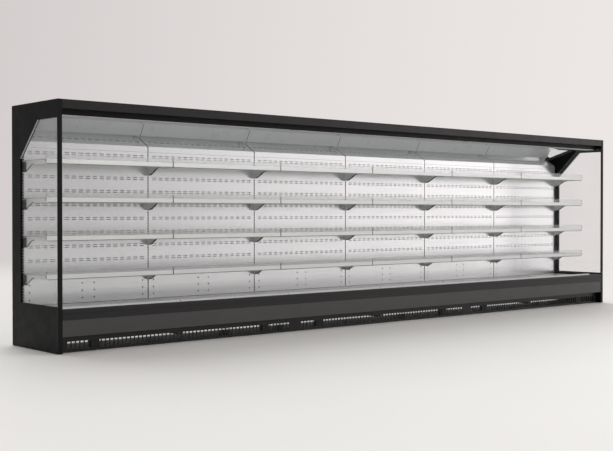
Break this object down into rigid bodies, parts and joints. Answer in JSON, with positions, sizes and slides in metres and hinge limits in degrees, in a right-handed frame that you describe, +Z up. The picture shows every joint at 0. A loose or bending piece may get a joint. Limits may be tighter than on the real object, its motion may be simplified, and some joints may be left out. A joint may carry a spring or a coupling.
{
  "type": "open multideck display fridge",
  "caption": "Long open-front refrigerated display cabinet with tiered shelves, glazed end panels, a canopy with a sloping mirror, a bumper and a slotted kick plate",
  "frame": {"origin": "on the floor, under the middle of the line-up", "axes": "+X along the front to the right as seen by a shopper, +Y from the open front to the rear wall, +Z up"},
  "size_m": [7.58, 0.82, 2.05],
  "materials": {
    "black_paint": "satin, fine texture",
    "clear_glass": "clear",
    "bright_trim": "satin anodised",
    "outer_sheet": "smooth grey-white paint over foam",
    "tub_liner": "smooth",
    "galvanised_steel": "galvanised",
    "black_plastic": "matte",
    "mirror_steel": "polished",
    "lamp_diffuser": "opal diffuser",
    "honeycomb_plastic": "matte",
    "wall_paint": "semi-gloss, white-grey",
    "grille_plastic": "matte",
    "coil_aluminium": "finned",
    "bumper_plastic": "extruded, satin",
    "anthracite_paint": "satin, fine texture",
    "copper_pipe": "drawn",
    "drain_plastic": "matte",
    "grey_plastic": "matte",
    "fan_plastic": "matte",
    "shelf_paint": "powder coat, light grey",
    "rail_plastic": "satin, light grey",
    "clear_acrylic": "clear"
  },
  "bodies": {
    "cabinet": {"left_end_frame": "black_paint", "right_end_frame": "black_paint", "front_posts": "black_paint", "end_glass_panes": "clear_glass", "end_glass_trims": "bright_trim", "rear_insulation": "outer_sheet", "roof_panels": "outer_sheet", "base_tubs": "tub_liner", "chassis_frame": "galvanised_steel", "legs": "black_plastic", "levelling_feet": "black_plastic", "canopy_fascia": "black_paint", "canopy_valance": "black_paint", "mirror_panels": "mirror_steel", "light_bars": "lamp_diffuser", "air_honeycomb": "honeycomb_plastic", "uprights": "galvanised_steel", "back_panels": "wall_paint", "lower_back_panels": "wall_paint", "return_air_grilles": "grille_plastic", "fan_plates": "galvanised_steel", "fan_motors": "black_plastic", "evaporator_coils": "coil_aluminium", "bumper_rails": "bumper_plastic", "front_panels": "anthracite_paint", "refrigerant_lines": "copper_pipe", "drain_pipes": "drain_plastic", "control_box": "grey_plastic", "deck_supports": "galvanised_steel"},
    "fan_rotor_1": {"fan_rotor_1": "fan_plastic"},
    "fan_rotor_2": {"fan_rotor_2": "fan_plastic"},
    "fan_rotor_3": {"fan_rotor_3": "fan_plastic"},
    "fan_rotor_4": {"fan_rotor_4": "fan_plastic"},
    "fan_rotor_5": {"fan_rotor_5": "fan_plastic"},
    "fan_rotor_6": {"fan_rotor_6": "fan_plastic"},
    "shelf_level_1": {"level_1_shelf_boards": "shelf_paint", "level_1_brackets": "shelf_paint", "level_1_price_rails": "rail_plastic", "level_1_risers": "clear_acrylic"},
    "shelf_level_2": {"level_2_shelf_boards": "shelf_paint", "level_2_brackets": "shelf_paint", "level_2_price_rails": "rail_plastic", "level_2_risers": "clear_acrylic"},
    "shelf_level_3": {"level_3_shelf_boards": "shelf_paint", "level_3_brackets": "shelf_paint", "level_3_price_rails": "rail_plastic", "level_3_risers": "clear_acrylic"},
    "shelf_level_4": {"level_4_shelf_boards": "shelf_paint", "level_4_brackets": "shelf_paint", "level_4_price_rails": "rail_plastic", "level_4_risers": "clear_acrylic"},
    "deck_tray_1": {"deck_tray_1": "shelf_paint"},
    "deck_tray_2": {"deck_tray_2": "shelf_paint"},
    "deck_tray_3": {"deck_tray_3": "shelf_paint"},
    "deck_tray_4": {"deck_tray_4": "shelf_paint"},
    "deck_tray_5": {"deck_tray_5": "shelf_paint"},
    "deck_tray_6": {"deck_tray_6": "shelf_paint"},
    "kick_plate_1": {"kick_plate_1": "black_paint"},
    "kick_plate_2": {"kick_plate_2": "black_paint"},
    "kick_plate_3": {"kick_plate_3": "black_paint"}
  },
  "joints": [
    {"name": "fan_spin_1", "type": "hinge", "parent": "cabinet", "child": "fan_rotor_1", "pos_m": [-3.125, -0.09, 0.262], "axis": [0, 0.7071, -0.7071], "continuous": true},
    {"name": "fan_spin_2", "type": "hinge", "parent": "cabinet", "child": "fan_rotor_2", "pos_m": [-1.875, -0.09, 0.262], "axis": [0, 0.7071, -0.7071], "continuous": true},
    {"name": "fan_spin_3", "type": "hinge", "parent": "cabinet", "child": "fan_rotor_3", "pos_m": [-0.625, -0.09, 0.262], "axis": [0, 0.7071, -0.7071], "continuous": true},
    {"name": "fan_spin_4", "type": "hinge", "parent": "cabinet", "child": "fan_rotor_4", "pos_m": [0.625, -0.09, 0.262], "axis": [0, 0.7071, -0.7071], "continuous": true},
    {"name": "fan_spin_5", "type": "hinge", "parent": "cabinet", "child": "fan_rotor_5", "pos_m": [1.875, -0.09, 0.262], "axis": [0, 0.7071, -0.7071], "continuous": true},
    {"name": "fan_spin_6", "type": "hinge", "parent": "cabinet", "child": "fan_rotor_6", "pos_m": [3.125, -0.09, 0.262], "axis": [0, 0.7071, -0.7071], "continuous": true},
    {"name": "shelf_lift_1", "type": "slide", "parent": "cabinet", "child": "shelf_level_1", "axis": [0, 0, 1], "range_m": [0, 0.12]},
    {"name": "shelf_lift_2", "type": "slide", "parent": "cabinet", "child": "shelf_level_2", "axis": [0, 0, 1], "range_m": [0, 0.12]},
    {"name": "shelf_lift_3", "type": "slide", "parent": "cabinet", "child": "shelf_level_3", "axis": [0, 0, 1], "range_m": [0, 0.12]},
    {"name": "shelf_lift_4", "type": "slide", "parent": "cabinet", "child": "shelf_level_4", "axis": [0, 0, 1], "range_m": [0, 0.12]},
    {"name": "deck_lift_1", "type": "slide", "parent": "cabinet", "child": "deck_tray_1", "axis": [0, 0, 1], "range_m": [0, 0.12]},
    {"name": "deck_lift_2", "type": "slide", "parent": "cabinet", "child": "deck_tray_2", "axis": [0, 0, 1], "range_m": [0, 0.12]},
    {"name": "deck_lift_3", "type": "slide", "parent": "cabinet", "child": "deck_tray_3", "axis": [0, 0, 1], "range_m": [0, 0.12]},
    {"name": "deck_lift_4", "type": "slide", "parent": "cabinet", "child": "deck_tray_4", "axis": [0, 0, 1], "range_m": [0, 0.12]},
    {"name": "deck_lift_5", "type": "slide", "parent": "cabinet", "child": "deck_tray_5", "axis": [0, 0, 1], "range_m": [0, 0.12]},
    {"name": "deck_lift_6", "type": "slide", "parent": "cabinet", "child": "deck_tray_6", "axis": [0, 0, 1], "range_m": [0, 0.12]},
    {"name": "kick_pull_1", "type": "slide", "parent": "cabinet", "child": "kick_plate_1", "axis": [0, -1, 0], "range_m": [0, 0.1]},
    {"name": "kick_pull_2", "type": "slide", "parent": "cabinet", "child": "kick_plate_2", "axis": [0, -1, 0], "range_m": [0, 0.1]},
    {"name": "kick_pull_3", "type": "slide", "parent": "cabinet", "child": "kick_plate_3", "axis": [0, -1, 0], "range_m": [0, 0.1]}
  ]
}
